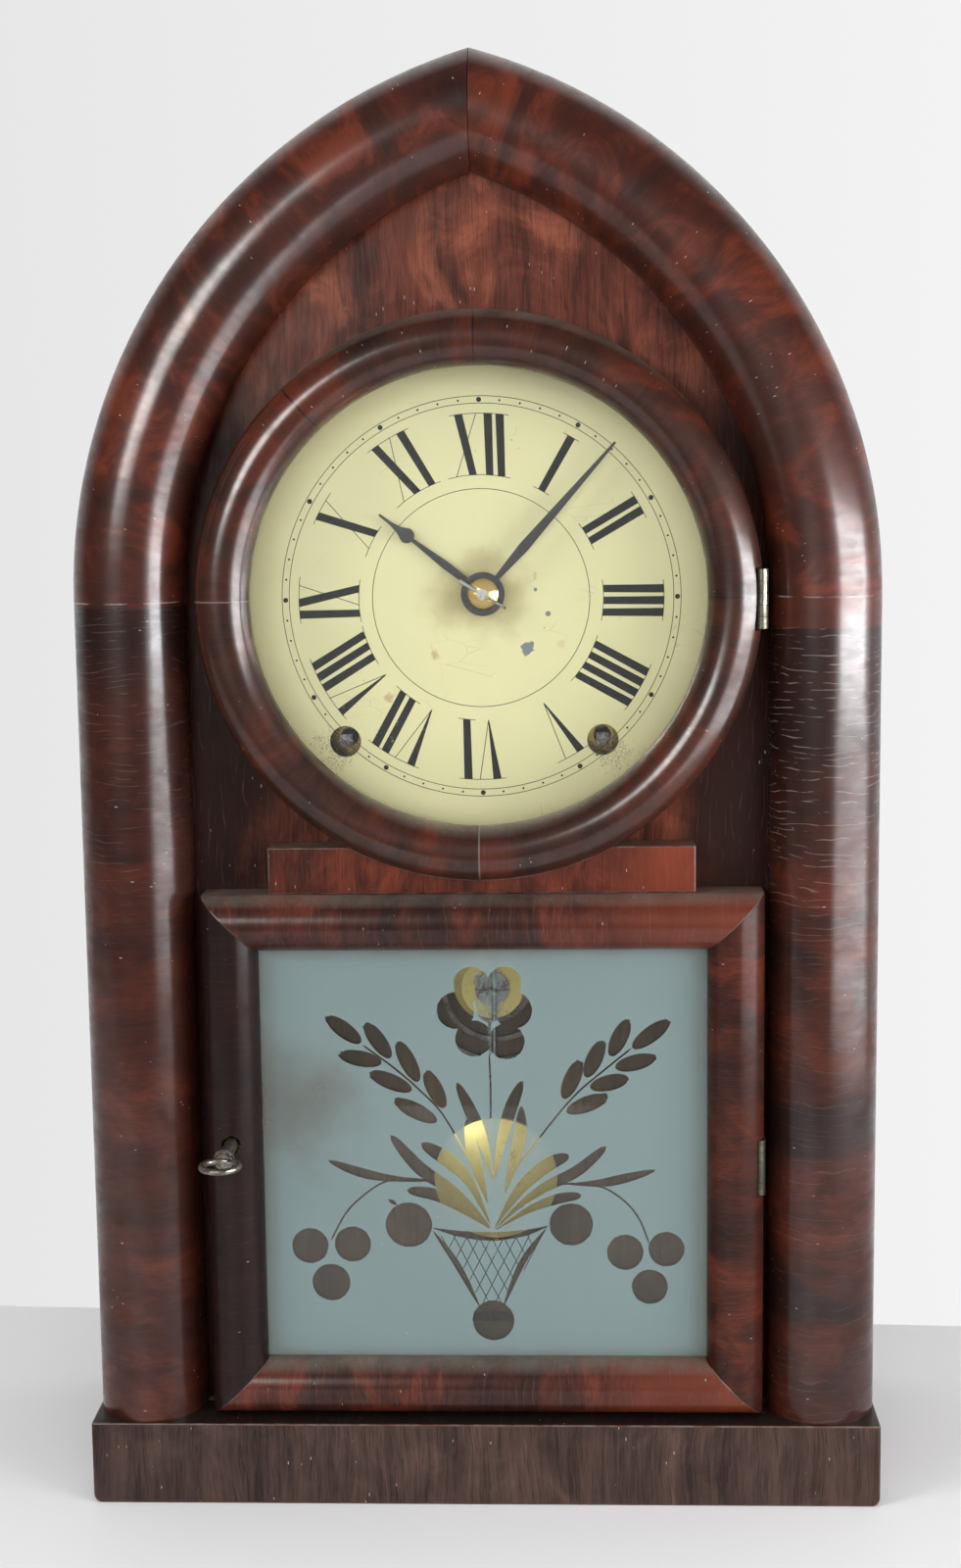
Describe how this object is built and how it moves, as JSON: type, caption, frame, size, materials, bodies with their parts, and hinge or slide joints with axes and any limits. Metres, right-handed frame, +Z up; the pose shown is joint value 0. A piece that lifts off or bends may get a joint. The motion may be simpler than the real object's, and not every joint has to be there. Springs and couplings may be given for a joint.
{
  "type": "beehive clock",
  "caption": "Pointed-arch wooden shelf clock with half-round mouldings, a one-piece glazed door on hinges, painted dial, hands, and a pendulum movement with strike and wire gong.",
  "frame": {"origin": "centre of the base's underside, with the key that stands out in front counted in the depth", "axes": "+Z up, front of the clock towards -Y, +X to the right as seen from the front"},
  "size_m": [0.268, 0.1391, 0.4826],
  "materials": {
    "veneer": "worn varnish",
    "pine": "bare",
    "brass": "aged",
    "hinge_brass": "tarnished",
    "steel": "dull",
    "key_steel": "worn",
    "gong_steel": "blued",
    "dial_paint": "aged enamel paint",
    "hand_black": "blackened",
    "dial_glass": "clear",
    "tablet_glass": "frosted with clear ornament"
  },
  "bodies": {
    "case": {"base_rails": "veneer", "case_floor": "pine", "case_sides": "veneer", "case_arches": "veneer", "column_mouldings": "veneer", "arch_mouldings": "veneer", "front_panel": "veneer", "backboard": "pine", "wood_screws": "steel", "movement_battens": "pine", "dial_plate": "dial_paint", "latch_keeper": "brass", "hinge_case_leaves": "hinge_brass", "front_plate": "brass", "back_plate": "brass", "plate_pillars": "brass", "steel_nuts": "steel", "suspension_post": "brass", "time_mainspring": "steel", "strike_mainspring": "steel", "gong_base": "brass", "gong_coil": "gong_steel"},
    "door": {"door_ring": "veneer", "door_header_block": "veneer", "door_rails": "veneer", "door_stiles": "veneer", "dial_glass": "dial_glass", "tablet_glass": "tablet_glass", "glazing_beads": "pine", "hinge_door_leaves": "hinge_brass", "latch_bush": "brass"},
    "latch": {"latch_key": "key_steel", "latch_hook": "steel"},
    "time_winder": {"time_winding_arbor": "steel"},
    "strike_winder": {"strike_winding_arbor": "steel"},
    "time_great": {"time_great_wheel": "brass", "time_click": "steel"},
    "time_second": {"second_wheel": "brass"},
    "time_third": {"third_wheel": "brass"},
    "escape": {"escape_wheel": "brass"},
    "drive": {"centre_wheel": "brass"},
    "minute": {"centre_arbor": "steel", "minute_hand": "hand_black", "hand_collet": "brass"},
    "motion": {"minute_wheel": "brass"},
    "hour": {"hour_wheel": "brass", "hour_hand": "hand_black"},
    "strike_great": {"strike_great_wheel": "brass", "strike_click": "steel"},
    "strike_second": {"strike_second_wheel": "brass"},
    "strike_third": {"strike_third_wheel": "brass"},
    "fly": {"fly": "brass"},
    "count": {"count_wheel": "brass"},
    "lever": {"count_lever": "steel"},
    "pendulum": {"suspension_spring": "steel", "pendulum_rod": "steel", "pendulum_bob": "brass", "rating_nut": "brass"},
    "verge": {"verge_and_crutch": "steel"},
    "hammer": {"hammer": "steel"}
  },
  "joints": [
    {"name": "door_hinge", "type": "hinge", "parent": "case", "child": "door", "pos_m": [0.0934, -0.03245, 0.211], "axis": [0, 0, 1], "range_deg": [0, 110]},
    {"name": "latch_turn", "type": "hinge", "parent": "door", "child": "latch", "pos_m": [-0.0836, -0.02445, 0.126], "axis": [0, -1, 0], "range_deg": [0, 90]},
    {"name": "time_winding", "type": "hinge", "parent": "case", "child": "time_winder", "pos_m": [0.042, 0.01955, 0.2585], "axis": [0, 1, 0], "continuous": true},
    {"name": "strike_winding", "type": "hinge", "parent": "case", "child": "strike_winder", "pos_m": [-0.0452, 0.01955, 0.2585], "axis": [0, 1, 0], "continuous": true},
    {"name": "time_third_turn", "type": "hinge", "parent": "case", "child": "time_third", "pos_m": [0.02582, 0.02555, 0.30648], "axis": [0, 1, 0], "continuous": true},
    {"name": "time_second_turn", "type": "hinge", "parent": "case", "child": "time_second", "pos_m": [0.03036, 0.03655, 0.28352], "axis": [0, 1, 0], "continuous": true},
    {"name": "time_great_turn", "type": "hinge", "parent": "case", "child": "time_great", "pos_m": [0.042, 0.01035, 0.2585], "axis": [0, 1, 0], "continuous": true},
    {"name": "escape_turn", "type": "hinge", "parent": "case", "child": "escape", "pos_m": [0.0177, 0.01755, 0.3217], "axis": [0, 1, 0], "continuous": true},
    {"name": "drive_turn", "type": "hinge", "parent": "case", "child": "drive", "pos_m": [0.0022, 0.04055, 0.3082], "axis": [0, 1, 0], "continuous": true},
    {"name": "minute_turn", "type": "hinge", "parent": "case", "child": "minute", "pos_m": [0.0022, -0.00045, 0.3082], "axis": [0, 1, 0], "continuous": true},
    {"name": "motion_turn", "type": "hinge", "parent": "case", "child": "motion", "pos_m": [-0.0077, 0.00025, 0.2983], "axis": [0, 1, 0], "continuous": true},
    {"name": "hour_turn", "type": "hinge", "parent": "case", "child": "hour", "pos_m": [0.0022, -0.00445, 0.3082], "axis": [0, 1, 0], "continuous": true},
    {"name": "strike_third_turn", "type": "hinge", "parent": "case", "child": "strike_third", "pos_m": [-0.02571, 0.02555, 0.30479], "axis": [0, 1, 0], "continuous": true},
    {"name": "strike_second_turn", "type": "hinge", "parent": "case", "child": "strike_second", "pos_m": [-0.03057, 0.03655, 0.28191], "axis": [0, 1, 0], "continuous": true},
    {"name": "strike_great_turn", "type": "hinge", "parent": "case", "child": "strike_great", "pos_m": [-0.0452, 0.01035, 0.2585], "axis": [0, 1, 0], "continuous": true},
    {"name": "fly_turn", "type": "hinge", "parent": "case", "child": "fly", "pos_m": [-0.03381, 0.01555, 0.32003], "axis": [0, 1, 0], "continuous": true},
    {"name": "count_turn", "type": "hinge", "parent": "case", "child": "count", "pos_m": [-0.0248, 0.00275, 0.3322], "axis": [0, 1, 0], "continuous": true},
    {"name": "pendulum_swing", "type": "hinge", "parent": "case", "child": "pendulum", "pos_m": [0.0022, 0.04815, 0.3522], "axis": [0, 1, 0], "range_deg": [-3, 3]},
    {"name": "verge_rock", "type": "hinge", "parent": "case", "child": "verge", "pos_m": [0.0022, 0.01955, 0.3352], "axis": [0, 1, 0], "range_deg": [-4, 4]},
    {"name": "hammer_lift", "type": "hinge", "parent": "case", "child": "hammer", "pos_m": [-0.0108, 0.03955, 0.2522], "axis": [0, 1, 0], "range_deg": [0, 14]},
    {"name": "lever_lift", "type": "hinge", "parent": "case", "child": "lever", "pos_m": [-0.0538, 0.01955, 0.3222], "axis": [0, -1, 0], "range_deg": [0, 8]}
  ],
  "couplings": [
    {"joint": "time_second_turn", "follows": "time_third_turn", "ratio": -0.083333},
    {"joint": "time_great_turn", "follows": "time_third_turn", "ratio": 0.0079365},
    {"joint": "escape_turn", "follows": "time_third_turn", "ratio": -10.5},
    {"joint": "drive_turn", "follows": "time_third_turn", "ratio": 0.10714},
    {"joint": "motion_turn", "follows": "minute_turn", "ratio": -0.33333},
    {"joint": "hour_turn", "follows": "minute_turn", "ratio": 0.083333},
    {"joint": "strike_second_turn", "follows": "strike_third_turn", "ratio": -0.083333},
    {"joint": "strike_great_turn", "follows": "strike_third_turn", "ratio": 0.0079365},
    {"joint": "fly_turn", "follows": "strike_third_turn", "ratio": -10.5},
    {"joint": "count_turn", "follows": "strike_third_turn", "ratio": -0.011111},
    {"joint": "verge_rock", "follows": "pendulum_swing", "ratio": 1.327}
  ]
}
